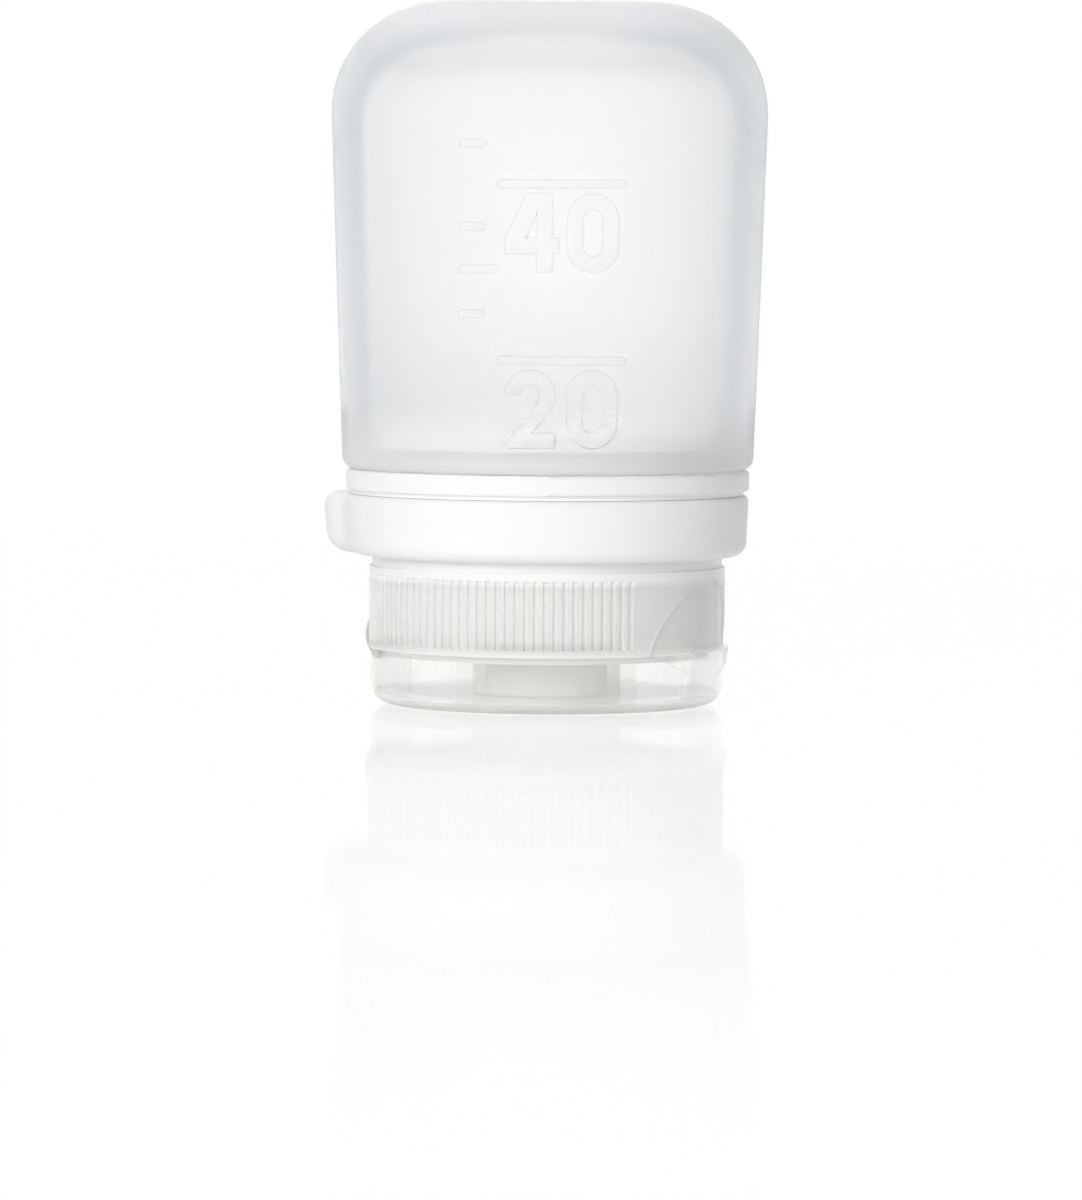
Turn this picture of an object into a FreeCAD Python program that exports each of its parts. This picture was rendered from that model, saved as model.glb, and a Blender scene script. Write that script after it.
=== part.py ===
import FreeCAD, Part
import math
import os
import re
import Sketcher

# Travel squeeze bottle that stands on its flip-top cap. Millimetres, +Z up.
# The origin is the centre of the lid's flat face on the table. The marked face of the body looks towards -Y.
# The cap's pieces are drawn with the thumb tab at +X and the hinge at -X, then turned about Z by cap_turn.

SIZES = {
    # lid
    "lid_height": 5.5,
    "lid_step": 0.2,
    "lid_wall": 1.1,
    "lid_floor": 1.0,
    "lid_round": 2.0,
    "plug_radius": 3.95,
    "plug_wall": 1.0,
    "plug_height": 1.55,
    "tab_half_width": 8.0,
    "tab_drop": 2.4,
    "tab_rise": 0.5,
    "tab_reach": 0.65,
    "tab_edge": 0.2,
    "tab_root": 0.6,
    # cap, from its floor at the lid's rim up
    "lid_gap": 0.1,
    "deck_thick": 1.4,
    "grip_height": 8.2,
    "grip_radius": 17.8,
    "band_height": 6.7,
    "band_step": 0.3,
    "skirt_wall": 1.1,
    "rim_play": 0.3,
    "rim_wall": 1.0,
    "rim_depth": 0.7,
    "cap_turn": -24.6,
    # grip ribs on the skirt, left off beside the thumb tab
    "rib_count": 93,
    "rib_panel_angle": 38.0,
    "rib_groove_radius": 0.3,
    "rib_margin": 0.75,
    "scoop_half_width": 9.2,
    "scoop_height": 7.1,
    "scoop_depth": 0.3,
    # snap groove that keeps the loop ring on the cap
    "groove_lift": 3.0,
    "groove_height": 1.4,
    "groove_depth": 0.45,
    # nozzle, valve and its retainer
    "nozzle_radius": 7.4,
    "nozzle_length": 4.5,
    "outlet_radius": 4.4,
    "outlet_lip": 2.1,
    "seat_bore": 6.2,
    "seat_play": 0.05,
    "valve_flange": 1.6,
    "valve_flange_thick": 1.0,
    "valve_rise": 1.1,
    "valve_skin": 0.5,
    "slit_length": 5.0,
    "slit_width": 0.12,
    "retainer_wall": 1.5,
    "retainer_height": 2.0,
    # hinge strap and the flat it lies on
    "facet_depth": 0.6,
    "facet_margin": 0.5,
    "strap_half_width": 4.5,
    "strap_lift": 1.0,
    "strap_length": 5.1,
    "strap_bow_depth": 1.2,
    "strap_thick": 0.35,
    # neck insert with the screw thread
    "gasket_thick": 1.2,
    "gasket_play": 0.2,
    "gasket_lip": 0.2,
    "neck_wall": 1.6,
    "thread_lead": 3.2,
    "thread_turns": 1.25,
    "thread_depth": 0.85,
    "thread_play": 0.35,
    "thread_root": 1.4,
    "thread_crest": 0.8,
    "thread_lift": 1.9,
    "thread_sink": 0.2,
    "flange_reach": 2.2,
    "flange_thick": 1.4,
    "catch_reach": 0.5,
    "catch_height": 0.5,
    # loop ring with its finger lobe
    "ring_lift": 1.05,
    "ring_height": 6.0,
    "ring_wall": 2.52,
    "ring_play": 0.08,
    "ring_low_round": 1.4,
    "ring_top_round": 0.5,
    "lobe_inset": 4.1,
    "lobe_radius": 8.0,
    "lobe_blend": 8.0,
    "bead_reach": 0.35,
    "bead_play": 0.3,
    # collar
    "ring_gap": 0.55,
    "collar_thick": 2.0,
    "collar_overhang": 0.05,
    "collar_play": 0.1,
    "collar_round": 0.3,
    "collar_lip_drop": 0.4,
    "collar_lip_inset": 0.55,
    "collar_lip_wall": 1.0,
    # squeeze body
    "body_height": 46.2,
    "mouth_overhang": 0.4,
    "mouth_flat": 0.6,
    "mouth_bevel": 1.3,
    "end_flare": 0.95,
    "end_corner": 15.0,
    "end_round": 10.8,
    "end_straight": 0.6,
    "body_wall": 2.5,
    "body_end_thick": 2.4,
    "shoulder_thick": 2.2,
    "shoulder_bevel": 0.3,
    "mouth_play": 0.15,
    # how near an edge must lie to the place it is looked for
    "near": 0.002,
}

# Radii and half widths, each a sum of sizes from the cap's grip in or out, so that the pieces keep together
RADII = {
    "lid_radius": "grip_radius - lid_step",
    "band_radius": "grip_radius - band_step",
    "skirt_bore": "band_radius - skirt_wall",
    "rim_radius": "lid_radius - lid_wall - rim_play",
    "facet_reach": "lid_radius - facet_depth",
    "neck_radius": "skirt_bore - thread_depth - thread_play",
    "neck_bore": "neck_radius - neck_wall",
    "flange_radius": "neck_radius + flange_reach",
    "gasket_radius": "skirt_bore - gasket_play",
    "gasket_bore": "neck_bore - gasket_lip",
    "ring_bore": "band_radius + ring_play",
    "ring_radius": "ring_bore + ring_wall",
    "lobe_centre": "ring_radius - lobe_inset",
    "collar_radius": "ring_radius + collar_overhang",
    "mouth_half": "collar_radius + mouth_overhang",
    "end_half": "mouth_half + end_flare",
}


def bow_round(half_width, depth):
    """The radius of an arc as a sum of sizes, from half its width and its depth."""
    return "((%s * %s + %s * %s) / (2 * %s))" % (half_width, half_width, depth, depth, depth)


# Heights on the axis, each a sum of sizes from the table up
CAP_FLOOR = "(lid_height + lid_gap)"
DECK_TOP = "(lid_height + lid_gap + deck_thick)"
NECK_END = "(lid_height + lid_gap + deck_thick + gasket_thick)"
GRIP_TOP = "(lid_height + lid_gap + grip_height)"
CAP_TOP = "(lid_height + lid_gap + grip_height + band_height)"
GROOVE_FLOOR = "(lid_height + lid_gap + grip_height + groove_lift)"
GROOVE_TOP = "(lid_height + lid_gap + grip_height + groove_lift + groove_height)"
RING_FLOOR = "(lid_height + lid_gap + grip_height + ring_lift)"
RING_TOP = "(lid_height + lid_gap + grip_height + ring_lift + ring_height)"
COLLAR_FLOOR = "(lid_height + lid_gap + grip_height + ring_lift + ring_height + ring_gap)"
BODY_FLOOR = "(" + COLLAR_FLOOR + " + collar_thick)"
SHOULDER_TOP = "(" + BODY_FLOOR + " + shoulder_thick)"
FLANGE_TOP = "(" + SHOULDER_TOP + " + flange_thick)"
BODY_TOP = "(" + BODY_FLOOR + " + body_height)"
NOZZLE_TIP = "(lid_height + lid_gap - nozzle_length)"
SEAT = "(lid_height + lid_gap - nozzle_length + outlet_lip)"
RETAINER_FLOOR = "(" + SEAT + " + valve_flange_thick)"
STRAP_HEIGHT = "(lid_height + lid_gap + strap_lift)"
STRAP_ROUND = bow_round("strap_length / 2", "strap_bow_depth")

FULL_TURN = 360.0
QUARTER_TURN = 90.0
X_AXIS = FreeCAD.Vector(1, 0, 0)
Y_AXIS = FreeCAD.Vector(0, 1, 0)
Z_AXIS = FreeCAD.Vector(0, 0, 1)
ZERO = FreeCAD.Vector(0, 0, 0)

doc = FreeCAD.newDocument("squeeze_bottle")
sheet = doc.addObject("Spreadsheet::Sheet", "Sizes")
for row, (alias, number) in enumerate(SIZES.items(), start=1):
    sheet.set("A%d" % row, str(number))
    sheet.setAlias("A%d" % row, alias)
doc.recompute()


def bound(text):
    """The same sum, with each radius written out and each size written as its cell of the sheet."""
    written = []
    for word in re.split(r"([a-z_]+)", text):
        if word in RADII:
            written.append("(" + bound(RADII[word]) + ")")
        elif word in SIZES:
            written.append("Sizes." + word)
        else:
            written.append(word)
    return "".join(written)


def size(text):
    """The number that a sum of sizes comes to."""
    return float(sheet.evalExpression(bound(text)))


def bind(thing, sums):
    """Ties each named property of a thing to its sum of sizes."""
    for name, text in sums.items():
        thing.setExpression(name, bound(text))
    return thing


def new_body(name):
    """An empty body of the document."""
    return doc.addObject("PartDesign::Body", name)


def new_sketch(body, name, role, lift):
    """An empty sketch on one of the body's own origin planes, lifted along its normal."""
    sketch = body.newObject("Sketcher::SketchObject", name)
    plane = [part for part in body.Origin.OriginFeatures if part.Role == role][0]
    sketch.AttachmentSupport = [(plane, "")]
    sketch.MapMode = "FlatFace"
    if lift:
        bind(sketch, {"AttachmentOffset.Base.z": lift})
    return sketch


def pin(sketch, kind, text, *where):
    """A sketch dimension that follows its sum of sizes."""
    number = sketch.addConstraint(Sketcher.Constraint(kind, *where, size(text)))
    sketch.setExpression("Constraints[%d]" % number, bound(text))


def pin_point(sketch, edge, end, across, up):
    """Holds one end of a sketch edge at a place, on an axis where the place says zero."""
    if across == "0":
        sketch.addConstraint(Sketcher.Constraint("PointOnObject", edge, end, -2))
    else:
        pin(sketch, "DistanceX", across, -1, 1, edge, end)
    if up == "0":
        sketch.addConstraint(Sketcher.Constraint("PointOnObject", edge, end, -1))
    else:
        pin(sketch, "DistanceY", up, -1, 1, edge, end)


def outline(body, name, role, corners, lift=None):
    """A closed sketch of straight edges through corners given as pairs of sums."""
    sketch = new_sketch(body, name, role, lift)
    places = [FreeCAD.Vector(size(across), size(up), 0) for across, up in corners]
    count = len(places)
    for index in range(count):
        sketch.addGeometry(Part.LineSegment(places[index], places[(index + 1) % count]), False)
    for index in range(count):
        sketch.addConstraint(Sketcher.Constraint("Coincident", index, 2, (index + 1) % count, 1))
    for index, (across, up) in enumerate(corners):
        pin_point(sketch, index, 1, across, up)
    return sketch


def round_hole(body, name, radius, lift, across="0", up="0"):
    """A sketch of one circle on the XY plane."""
    sketch = new_sketch(body, name, "XY_Plane", lift)
    centre = FreeCAD.Vector(size(across), size(up), 0)
    sketch.addGeometry(Part.Circle(centre, Z_AXIS, size(radius)), False)
    if across == "0" and up == "0":
        sketch.addConstraint(Sketcher.Constraint("Coincident", 0, 3, -1, 1))
    else:
        pin_point(sketch, 0, 3, across, up)
    pin(sketch, "Radius", radius, 0)
    return sketch


def turned(body, name, corners):
    """A feature turned about Z from an outline of radius and height pairs."""
    sketch = outline(body, name + "_outline", "XZ_Plane", corners)
    feature = body.newObject("PartDesign::Revolution", name)
    feature.Profile = sketch
    feature.ReferenceAxis = (sketch, ["V_Axis"])
    feature.Angle = FULL_TURN
    return feature


def flat_ring(name, bore, radius, floor, top):
    """A body that is a plain ring."""
    body = new_body(name)
    turned(body, name + "_turned", [(bore, floor), (radius, floor), (radius, top), (bore, top)])
    return body


def edges_level(feature, height):
    """Names of the edges that lie flat at a height."""
    names = []
    for number, edge in enumerate(feature.Shape.Edges, start=1):
        box = edge.BoundBox
        if abs(box.ZMin - height) < size("near") and abs(box.ZMax - height) < size("near"):
            names.append("Edge%d" % number)
    return names


def outer_only(feature, names, least):
    """Those of the named edges that reach further out from Z than a radius."""
    kept = []
    for name in names:
        edge = feature.Shape.getElement(name)
        middle = edge.valueAt((edge.FirstParameter + edge.LastParameter) / 2)
        if math.hypot(middle.x, middle.y) > least:
            kept.append(name)
    return kept


def rounded(body, name, base, names, radius):
    """Rounds named edges of the body's last feature."""
    feature = body.newObject("PartDesign::Fillet", name)
    feature.Base = (base, names)
    bind(feature, {"Radius": radius})
    doc.recompute()
    return feature


def thread(body, name, sunk_radius, crest_radius, middle):
    """A screw thread from a radius sunk in its wall to its crest, its first turn centred at a height."""
    corners = [
        (sunk_radius, middle + " - thread_root / 2"),
        (crest_radius, middle + " - thread_crest / 2"),
        (crest_radius, middle + " + thread_crest / 2"),
        (sunk_radius, middle + " + thread_root / 2"),
    ]
    sketch = outline(body, name + "_outline", "XZ_Plane", corners)
    helix = body.newObject("PartDesign::AdditiveHelix", name)
    helix.Profile = sketch
    helix.ReferenceAxis = (sketch, ["V_Axis"])
    helix.Mode = "pitch-turns-angle"
    bind(helix, {"Pitch": "thread_lead", "Turns": "thread_turns"})
    helix.LeftHanded = False
    helix.Reversed = False
    doc.recompute()
    return helix


def solid(kind, name, sums, turn=None):
    """A Part primitive with its sizes and place tied to the sheet."""
    thing = doc.addObject("Part::" + kind, name)
    if turn:
        thing.Placement = FreeCAD.Placement(ZERO, FreeCAD.Rotation(*turn))
    return bind(thing, sums)


def joined(kind, name, base, tool):
    """A Part boolean of two things."""
    thing = doc.addObject("Part::" + kind, name)
    thing.Base = base
    thing.Tool = tool
    return thing


def face_cap(thing):
    """Turns a piece of the cap about Z to where the cap stops when it is screwed home."""
    thing.Placement = FreeCAD.Placement(ZERO, FreeCAD.Rotation(Z_AXIS, size("cap_turn")))
    return bind(thing, {"Placement.Rotation.Angle": "cap_turn"})


def rounded_square(body, name, lift, half, corner):
    """A sketch of a square with round corners, four straight edges and four arcs."""
    sketch = new_sketch(body, name, "XY_Plane", lift)
    side = size(half)
    flat = side - size(corner)
    inner = "(%s - %s)" % (half, corner)
    signs = [(1, -1, 1, 1), (1, 1, -1, 1), (-1, 1, -1, -1), (-1, -1, 1, -1)]
    for index, (x_from, y_from, x_to, y_to) in enumerate(signs):
        upright = index % 2 == 0
        start = FreeCAD.Vector(x_from * (side if upright else flat), y_from * (flat if upright else side), 0)
        stop = FreeCAD.Vector(x_to * (side if upright else flat), y_to * (flat if upright else side), 0)
        sketch.addGeometry(Part.LineSegment(start, stop), False)
        centre = FreeCAD.Vector(x_to * flat, y_to * flat, 0)
        circle = Part.Circle(centre, Z_AXIS, size(corner))
        begin = math.radians(QUARTER_TURN) * index
        sketch.addGeometry(Part.ArcOfCircle(circle, begin, begin + math.radians(QUARTER_TURN)), False)
    for index, (x_from, y_from, x_to, y_to) in enumerate(signs):
        line = 2 * index
        arc = line + 1
        following = (line + 2) % 8
        upright = index % 2 == 0
        sketch.addConstraint(Sketcher.Constraint("Coincident", line, 2, arc, 1))
        sketch.addConstraint(Sketcher.Constraint("Coincident", arc, 2, following, 1))
        for end, x_sign, y_sign in ((1, x_from, y_from), (2, x_to, y_to)):
            across = "%d * %s" % (x_sign, half if upright else inner)
            up = "%d * %s" % (y_sign, inner if upright else half)
            pin_point(sketch, line, end, across, up)
        pin(sketch, "Radius", corner, arc)
    return sketch


def pillow(name, floor, top, inset, end_round, bevel):
    """The body's outer or inner form: round with a bevel at the mouth, a soft square at the closed end."""
    body = new_body(name)
    waist = "(%s - %s - end_straight)" % (top, end_round)
    mouth = "(mouth_half - %s)" % inset
    half = "(end_half - %s)" % inset
    corner = "(end_corner - %s)" % inset
    lip = rounded_square(body, name + "_lip", floor, "(%s - %s)" % (mouth, bevel),
                         "(%s - %s - mouth_flat)" % (mouth, bevel))
    low = rounded_square(body, name + "_mouth", "(%s + %s)" % (floor, bevel), mouth,
                         "(%s - mouth_flat)" % mouth)
    high = rounded_square(body, name + "_waist", waist, half, corner)
    sides = body.newObject("PartDesign::AdditiveLoft", name + "_sides")
    sides.Profile = lip
    sides.Sections = [low, high]
    sides.Ruled = True
    end = body.newObject("PartDesign::Pad", name + "_end")
    end.Profile = rounded_square(body, name + "_end_plan", waist, half, corner)
    bind(end, {"Length": "%s + end_straight" % end_round})
    doc.recompute()
    rounded(body, name + "_end_round", end, edges_level(end, size(top)), end_round)
    return body


# Squeeze body: outer form less inner form less the hole for the neck
outer_form = pillow("outer_form", BODY_FLOOR, BODY_TOP, "0", "end_round", "mouth_bevel")
inner_form = pillow("inner_form", SHOULDER_TOP, "(" + BODY_TOP + " - body_end_thick)", "body_wall",
                    "(end_round - body_wall)", "shoulder_bevel")
neck_hole = solid("Cylinder", "neck_hole", {
    "Radius": "neck_radius + mouth_play",
    "Height": SHOULDER_TOP + " + flange_thick - " + COLLAR_FLOOR,
    "Placement.Base.z": COLLAR_FLOOR,
})
body_shell = joined("Cut", "body_shell", outer_form, inner_form)
squeeze_body = joined("Cut", "squeeze_body", body_shell, neck_hole)

# Neck insert: flange inside the body, tube through its mouth, catch under the collar, screw thread
neck_insert = new_body("neck_insert")
turned(neck_insert, "insert_turned", [
    ("neck_bore", NECK_END),
    ("neck_radius", NECK_END),
    ("neck_radius", "(" + COLLAR_FLOOR + " - catch_height)"),
    ("(neck_radius + catch_reach)", "(" + COLLAR_FLOOR + " - catch_height / 2)"),
    ("(neck_radius + catch_reach)", COLLAR_FLOOR),
    ("neck_radius", COLLAR_FLOOR),
    ("neck_radius", SHOULDER_TOP),
    ("flange_radius", SHOULDER_TOP),
    ("flange_radius", FLANGE_TOP),
    ("neck_bore", FLANGE_TOP),
])
doc.recompute()
MALE_START = "(" + NECK_END + " + thread_lift)"
thread(neck_insert, "neck_thread", "(neck_radius - thread_sink)", "(neck_radius + thread_depth)", MALE_START)

# Collar: the ring that clamps the body's mouth onto the insert, with a lip that shades the gap under it
neck_collar = flat_ring("neck_collar", "(neck_radius + collar_play)", "collar_radius",
                        COLLAR_FLOOR, BODY_FLOOR)
doc.recompute()
collar_turned = neck_collar.Tip
collar_edges = edges_level(collar_turned, size(COLLAR_FLOOR)) + edges_level(collar_turned, size(BODY_FLOOR))
collar_rim = outer_only(collar_turned, collar_edges, size("(neck_radius + collar_radius) / 2"))
rounded(neck_collar, "collar_edge", collar_turned, collar_rim, "collar_round")
LIP_OUTER = "(collar_radius - collar_lip_inset)"
LIP_INNER = "(collar_radius - collar_lip_inset - collar_lip_wall)"
LIP_FLOOR = "(" + COLLAR_FLOOR + " - collar_lip_drop)"
LIP_TOP = "(" + COLLAR_FLOOR + " + collar_thick / 2)"
turned(neck_collar, "collar_lip", [
    (LIP_INNER, LIP_FLOOR),
    (LIP_OUTER, LIP_FLOOR),
    (LIP_OUTER, LIP_TOP),
    (LIP_INNER, LIP_TOP),
])

# Gasket between the neck's end and the cap's deck
neck_gasket = flat_ring("neck_gasket", "gasket_bore", "gasket_radius", DECK_TOP, NECK_END)

# Cap: skirt, deck, locating rim and nozzle in one turned piece, then thread and ribs
cap_form = new_body("cap_form")
turned(cap_form, "cap_turned", [
    ("outlet_radius", NOZZLE_TIP),
    ("nozzle_radius", NOZZLE_TIP),
    ("nozzle_radius", CAP_FLOOR),
    ("(rim_radius - rim_wall)", CAP_FLOOR),
    ("(rim_radius - rim_wall)", "(" + CAP_FLOOR + " - rim_depth)"),
    ("rim_radius", "(" + CAP_FLOOR + " - rim_depth)"),
    ("rim_radius", CAP_FLOOR),
    ("grip_radius", CAP_FLOOR),
    ("grip_radius", GRIP_TOP),
    ("band_radius", GRIP_TOP),
    ("band_radius", GROOVE_FLOOR),
    ("(band_radius - groove_depth)", GROOVE_FLOOR),
    ("(band_radius - groove_depth)", GROOVE_TOP),
    ("band_radius", GROOVE_TOP),
    ("band_radius", CAP_TOP),
    ("skirt_bore", CAP_TOP),
    ("skirt_bore", DECK_TOP),
    ("seat_bore", DECK_TOP),
    ("seat_bore", SEAT),
    ("outlet_radius", SEAT),
])
doc.recompute()
FEMALE_START = "(" + NECK_END + " + thread_lift + thread_lead / 2)"
thread(cap_form, "cap_thread", "(skirt_bore + thread_sink)", "(skirt_bore - thread_depth)", FEMALE_START)
GRIP_START = "(" + CAP_FLOOR + " + rib_margin)"
groove_circle = round_hole(cap_form, "rib_groove_circle", "rib_groove_radius", GRIP_START,
                           "(grip_radius * cos(rib_panel_angle))", "(grip_radius * sin(rib_panel_angle))")
rib_groove = cap_form.newObject("PartDesign::Pocket", "rib_groove")
rib_groove.Profile = groove_circle
rib_groove.Reversed = True
bind(rib_groove, {"Length": "grip_height - 2 * rib_margin"})
doc.recompute()
ribs = cap_form.newObject("PartDesign::PolarPattern", "ribs")
ribs.Originals = [rib_groove]
ribs.Axis = (groove_circle, ["N_Axis"])
bind(ribs, {"Angle": "360 - 2 * rib_panel_angle", "Occurrences": "rib_count"})
cap_form.Tip = ribs
doc.recompute()

# Shallow thumb scoop in the skirt, round at the top, and the flat for the hinge strap
SCOOP_ROUND = bow_round("scoop_half_width", "scoop_height")
scoop_bar = solid("Cylinder", "scoop_bar", {
    "Radius": SCOOP_ROUND,
    "Height": "grip_radius + tab_reach",
    "Placement.Base.z": CAP_FLOOR + " + scoop_height - " + SCOOP_ROUND,
}, (Y_AXIS, QUARTER_TURN))
scoop_outer = solid("Cylinder", "scoop_outer", {
    "Radius": "grip_radius + tab_reach",
    "Height": "grip_height",
    "Placement.Base.z": CAP_FLOOR,
})
scoop_inner = solid("Cylinder", "scoop_inner", {
    "Radius": "grip_radius - scoop_depth",
    "Height": "grip_height",
    "Placement.Base.z": CAP_FLOOR,
})
scoop_shell = joined("Cut", "scoop_shell", scoop_outer, scoop_inner)
scoop = joined("Common", "scoop", scoop_shell, scoop_bar)
facet_block = solid("Box", "facet_block", {
    "Length": "grip_radius",
    "Width": "2 * grip_radius",
    "Height": STRAP_HEIGHT + " + strap_length / 2 + facet_margin",
    "Placement.Base.x": "-facet_reach - grip_radius",
    "Placement.Base.y": "-grip_radius",
})
cap_scooped = joined("Cut", "cap_scooped", cap_form, scoop)
cap_base = face_cap(joined("Cut", "cap_base", cap_scooped, facet_block))

# Slit valve: a flange on the outlet's lip and a domed skin with two crossed slits
valve_form = new_body("valve_form")
turned(valve_form, "valve_turned", [
    ("0", "(" + SEAT + " + valve_rise)"),
    ("(seat_bore - valve_flange)", SEAT),
    ("(seat_bore - seat_play)", SEAT),
    ("(seat_bore - seat_play)", RETAINER_FLOOR),
    ("(seat_bore - valve_flange)", RETAINER_FLOOR),
    ("0", "(" + SEAT + " + valve_rise + valve_skin)"),
])
slit_sizes = {"slit_long": ("slit_length", "slit_width"), "slit_cross": ("slit_width", "slit_length")}
slits = []
for name, (length, width) in slit_sizes.items():
    slits.append(solid("Box", name, {
        "Length": length,
        "Width": width,
        "Height": "valve_rise + valve_skin + valve_flange_thick",
        "Placement.Base.x": "-" + length + " / 2",
        "Placement.Base.y": "-" + width + " / 2",
        "Placement.Base.z": SEAT,
    }))
valve_slit_once = joined("Cut", "valve_slit_once", valve_form, slits[0])
slit_valve = joined("Cut", "slit_valve", valve_slit_once, slits[1])

# Retainer ring pressed in above the valve's flange
valve_retainer = flat_ring("valve_retainer", "(seat_bore - retainer_wall)", "(seat_bore - seat_play)",
                           RETAINER_FLOOR, "(" + RETAINER_FLOOR + " + retainer_height)")

# Loop ring: a band round the cap with a finger lobe at -X and a bead that runs in the cap's groove
loop_ring = new_body("loop_ring")
ring_plan = new_sketch(loop_ring, "ring_plan", "XY_Plane", RING_FLOOR)
ring_radius = size("ring_radius")
lobe_radius = size("lobe_radius")
lobe_blend = size("lobe_blend")
lobe_centre = size("lobe_centre")
far = ring_radius + lobe_blend
near_side = lobe_radius + lobe_blend
swing = math.acos((far ** 2 + lobe_centre ** 2 - near_side ** 2) / (2 * lobe_centre * far))
blend_x = -far * math.cos(swing)
blend_y = far * math.sin(swing)
lobe_swing = math.atan2(blend_y, blend_x + lobe_centre)
half_turn = math.radians(FULL_TURN) / 2
arcs = [
    (0, 0, ring_radius, -half_turn + swing, half_turn - swing),
    (blend_x, blend_y, lobe_blend, lobe_swing - half_turn, -swing),
    (-lobe_centre, 0, lobe_radius, lobe_swing, 2 * half_turn - lobe_swing),
    (blend_x, -blend_y, lobe_blend, swing, half_turn - lobe_swing),
]
for x_place, y_place, radius, begin, stop in arcs:
    circle = Part.Circle(FreeCAD.Vector(x_place, y_place, 0), Z_AXIS, radius)
    ring_plan.addGeometry(Part.ArcOfCircle(circle, begin, stop), False)
ring_plan.addConstraint(Sketcher.Constraint("Coincident", 0, 3, -1, 1))
ring_plan.addConstraint(Sketcher.Constraint("PointOnObject", 2, 3, -1))
for first, first_end, second, second_end in ((0, 2, 1, 2), (1, 1, 2, 1), (2, 2, 3, 2), (3, 1, 0, 1)):
    ring_plan.addConstraint(Sketcher.Constraint("Tangent", first, first_end, second, second_end))
pin(ring_plan, "Radius", "ring_radius", 0)
pin(ring_plan, "Radius", "lobe_blend", 1)
pin(ring_plan, "Radius", "lobe_radius", 2)
pin(ring_plan, "Radius", "lobe_blend", 3)
pin(ring_plan, "DistanceX", "-lobe_centre", -1, 1, 2, 3)
ring_block = loop_ring.newObject("PartDesign::Pad", "ring_block")
ring_block.Profile = ring_plan
bind(ring_block, {"Length": "ring_height"})
doc.recompute()
low_edges = edges_level(ring_block, size(RING_FLOOR))
ring_low = rounded(loop_ring, "ring_low", ring_block, low_edges, "ring_low_round")
rounded(loop_ring, "ring_edge", ring_low, edges_level(ring_low, size(RING_TOP)), "ring_top_round")
ring_bore = loop_ring.newObject("PartDesign::Pocket", "ring_bore")
ring_bore.Profile = round_hole(loop_ring, "ring_bore_circle", "ring_bore", RING_FLOOR)
ring_bore.Reversed = True
bind(ring_bore, {"Length": "ring_height"})
doc.recompute()
BEAD_FLOOR = "(" + GROOVE_FLOOR + " + bead_play)"
BEAD_TOP = "(" + GROOVE_TOP + " - bead_play)"
turned(loop_ring, "ring_bead", [
    ("(band_radius - bead_reach)", BEAD_FLOOR),
    ("(band_radius + groove_depth)", BEAD_FLOOR),
    ("(band_radius + groove_depth)", BEAD_TOP),
    ("(band_radius - bead_reach)", BEAD_TOP),
])
face_cap(loop_ring)

# Lid: a shallow clear cup with a ring plug for the outlet and a flared lip for the thumb
lid_form = new_body("lid_form")
lid_turned = turned(lid_form, "lid_turned", [
    ("0", "0"),
    ("lid_radius", "0"),
    ("lid_radius", "lid_height"),
    ("(lid_radius - lid_wall)", "lid_height"),
    ("(lid_radius - lid_wall)", "lid_floor"),
    ("plug_radius", "lid_floor"),
    ("plug_radius", "(lid_floor + plug_height)"),
    ("(plug_radius - plug_wall)", "(lid_floor + plug_height)"),
    ("(plug_radius - plug_wall)", "lid_floor"),
    ("0", "lid_floor"),
])
doc.recompute()
rounded(lid_form, "lid_corner", lid_turned, edges_level(lid_turned, 0), "lid_round")
TAB_ROUND = bow_round("tab_half_width", "tab_drop")
tab_bar = solid("Cylinder", "tab_bar", {
    "Radius": TAB_ROUND,
    "Height": "lid_radius + 2 * tab_reach",
    "Placement.Base.z": "lid_height - tab_drop + " + TAB_ROUND,
}, (Y_AXIS, QUARTER_TURN))
tab_cone = solid("Cone", "tab_cone", {
    "Radius1": "lid_radius + tab_edge",
    "Radius2": "lid_radius + tab_reach",
    "Height": "tab_drop + tab_rise",
    "Placement.Base.z": "lid_height - tab_drop",
})
tab_core = solid("Cylinder", "tab_core", {
    "Radius": "lid_radius - tab_root",
    "Height": "2 * lid_height",
})
tab_clearance = solid("Cylinder", "tab_clearance", {
    "Radius": "grip_radius - scoop_depth + lid_gap",
    "Height": "lid_height",
    "Placement.Base.z": "lid_height",
})
tab_hollow = joined("Fuse", "tab_hollow", tab_core, tab_clearance)
tab_flare = joined("Cut", "tab_flare", tab_cone, tab_hollow)
tab = joined("Common", "tab", tab_flare, tab_bar)
lid_tabbed = joined("Fuse", "lid_tabbed", lid_form, tab)
flip_lid = face_cap(joined("Cut", "flip_lid", lid_tabbed, facet_block))

# Hinge strap: a thin bowed band from the skirt's flat to the lid's flat
strap_sides = {
    "strap_outer": STRAP_ROUND,
    "strap_inner": "(" + STRAP_ROUND + " - strap_thick)",
}
strap_bars = []
for name, radius in strap_sides.items():
    strap_bars.append(solid("Cylinder", name, {
        "Radius": radius,
        "Height": "2 * strap_half_width",
        "Placement.Base.x": "-facet_reach - strap_bow_depth + " + STRAP_ROUND,
        "Placement.Base.y": "strap_half_width",
        "Placement.Base.z": STRAP_HEIGHT,
    }, (X_AXIS, QUARTER_TURN)))
strap_tube = joined("Cut", "strap_tube", strap_bars[0], strap_bars[1])
hinge_strap = face_cap(joined("Common", "hinge_strap", strap_tube, facet_block))

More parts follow.
